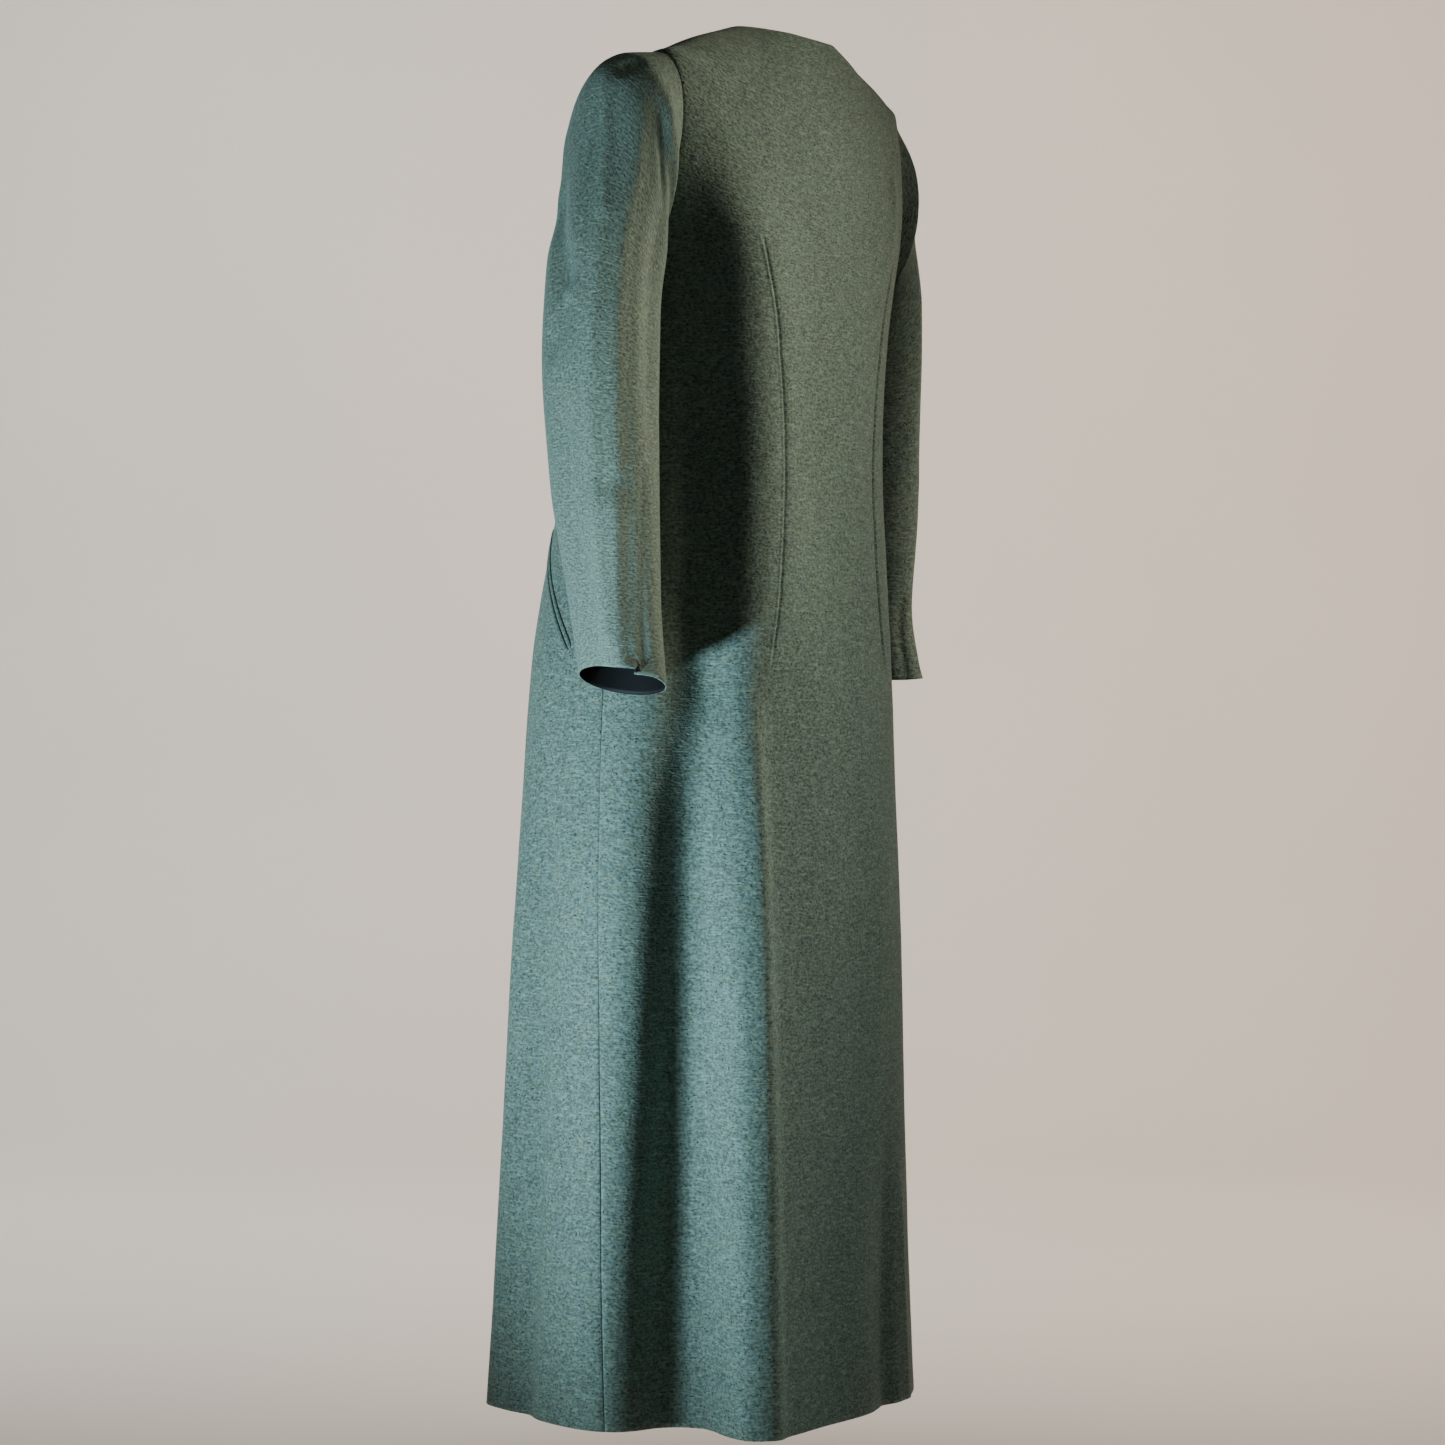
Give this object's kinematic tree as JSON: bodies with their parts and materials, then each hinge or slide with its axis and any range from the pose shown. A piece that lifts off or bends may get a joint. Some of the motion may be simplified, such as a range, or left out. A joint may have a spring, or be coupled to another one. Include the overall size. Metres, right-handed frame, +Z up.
{
  "type": "silk coat",
  "caption": "Long collarless silk coat with set-in long sleeves, waist darts, slanted pockets and lapped open-hem fronts.",
  "frame": {"origin": "the middle of the neck, level with the inner ends of the shoulder seams, where the wearer's neck and shoulders hold the coat up", "axes": "+Z up along the coat's length, -Y out of the wearer's chest, +X towards the wearer's left"},
  "size_m": [0.5377, 0.3611, 1.2781],
  "materials": {
    "back_silk": "slubbed plain-weave silk with a soft low sheen",
    "front_silk": "slubbed plain-weave silk with a soft low sheen",
    "sleeve_silk": "slubbed plain-weave silk with a soft low sheen",
    "pocket_silk": "slubbed plain-weave silk, pressed into narrow lips"
  },
  "bodies": {
    "root": {"coat_back": "back_silk", "left_front": "front_silk", "right_front": "front_silk", "left_sleeve": "sleeve_silk", "right_sleeve": "sleeve_silk", "left_pocket_upper_lip": "pocket_silk", "left_pocket_lower_lip": "pocket_silk", "right_pocket_upper_lip": "pocket_silk", "right_pocket_lower_lip": "pocket_silk"}
  },
  "joints": []
}
